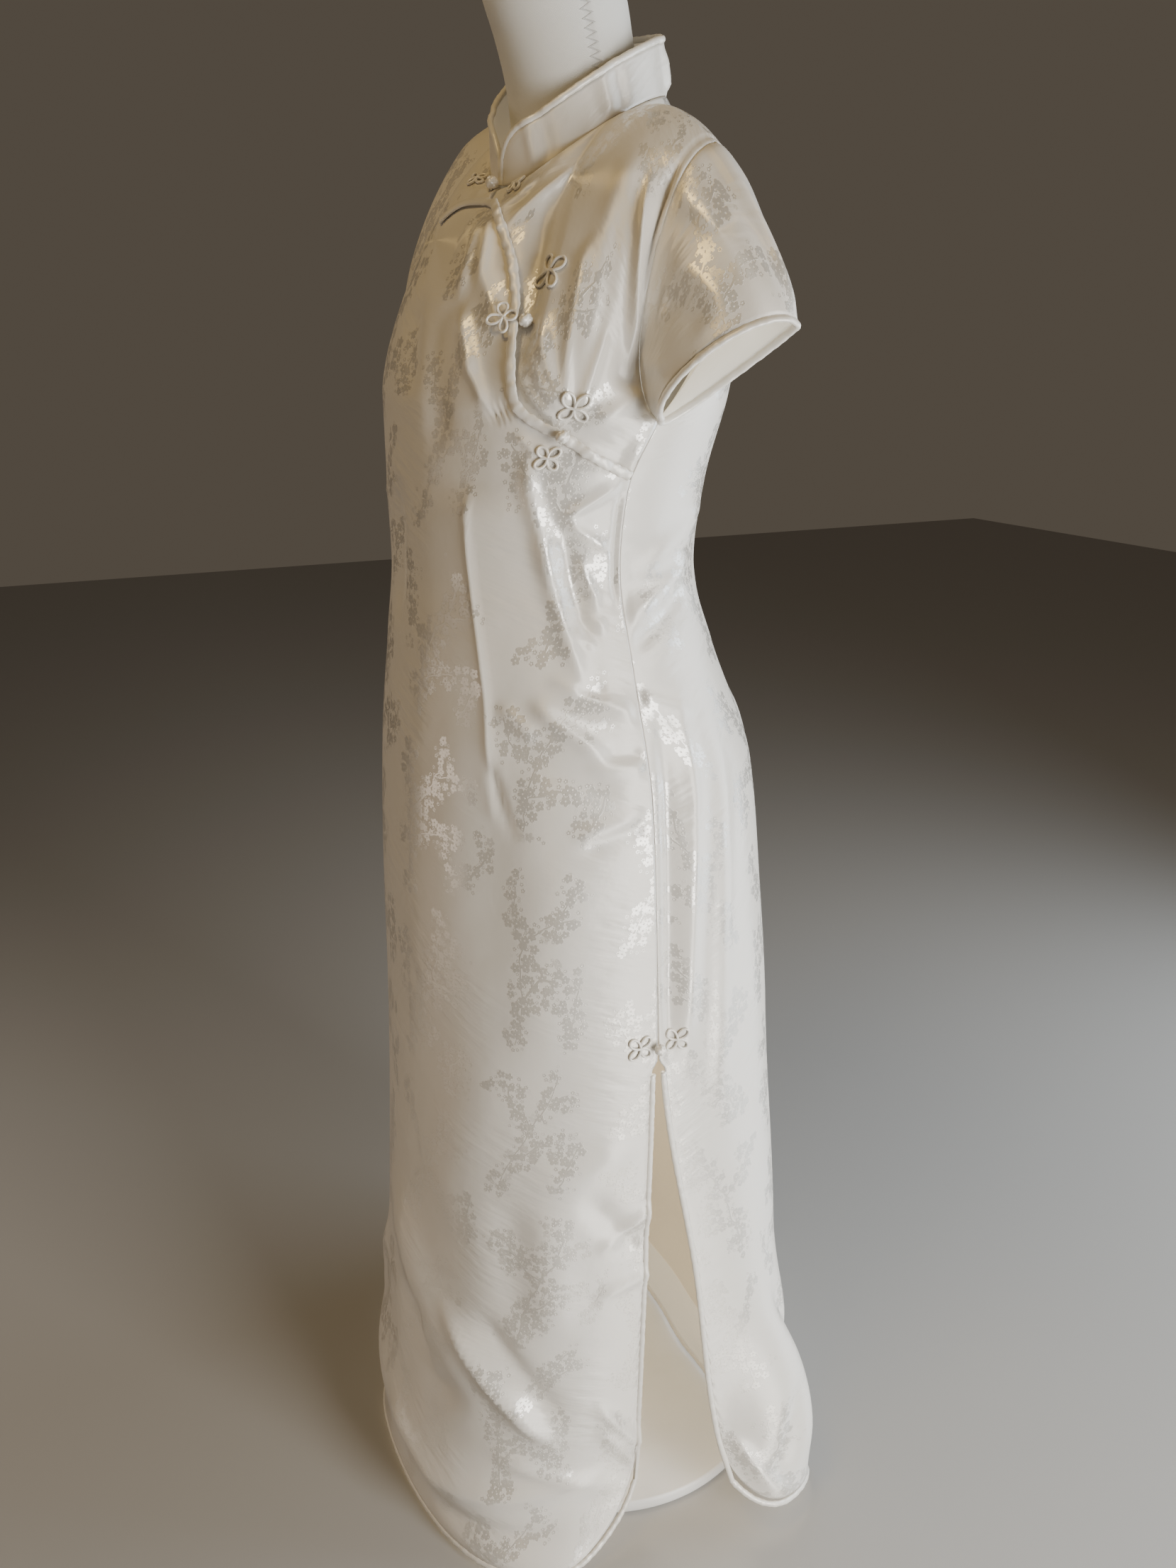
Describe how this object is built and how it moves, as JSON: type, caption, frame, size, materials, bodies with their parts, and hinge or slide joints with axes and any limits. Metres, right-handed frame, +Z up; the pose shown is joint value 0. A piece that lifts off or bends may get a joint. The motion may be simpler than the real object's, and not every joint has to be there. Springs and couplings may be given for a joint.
{
  "type": "cheongsam dress on a limbless dress form",
  "caption": "Floor-length brocade cheongsam with cap sleeves, stand collar, curved front opening and side slits, worn by a limbless dress form on a round base.",
  "frame": {"origin": "centre of the base's underside, on the pole's axis", "axes": "+Z up along the pole; -Y towards the front of the dress; +X towards the wearer's left"},
  "size_m": [0.5204, 0.4536, 1.4921],
  "materials": {
    "ivory_brocade": "satin damask with plum-blossom sprays, soft sheen",
    "ivory_satin": "bias-cut satin binding and cord",
    "white_jersey": "knitted cover of the dress form",
    "white_paint": "white powder coat"
  },
  "bodies": {
    "root": {"back": "ivory_brocade", "ball_chest": "ivory_satin", "ball_neck": "ivory_satin", "ball_side": "ivory_satin", "ball_slit_left": "ivory_satin", "ball_slit_right": "ivory_satin", "collar": "ivory_brocade", "form_torso": "white_jersey", "frog_chest_left": "ivory_satin", "frog_chest_right": "ivory_satin", "frog_neck_left": "ivory_satin", "frog_neck_right": "ivory_satin", "frog_side_lower": "ivory_satin", "frog_side_upper": "ivory_satin", "frog_slit_left_back": "ivory_satin", "frog_slit_left_front": "ivory_satin", "frog_slit_right_back": "ivory_satin", "frog_slit_right_front": "ivory_satin", "front": "ivory_brocade", "piping_back_hem": "ivory_satin", "piping_collar": "ivory_satin", "piping_front_hem": "ivory_satin", "piping_opening": "ivory_satin", "piping_sleeve_left": "ivory_satin", "piping_sleeve_right": "ivory_satin", "side_zip": "ivory_satin", "sleeve_left": "ivory_brocade", "sleeve_right": "ivory_brocade", "stand_base": "white_paint", "stand_pole": "white_paint", "underlap": "ivory_brocade"}
  },
  "joints": []
}
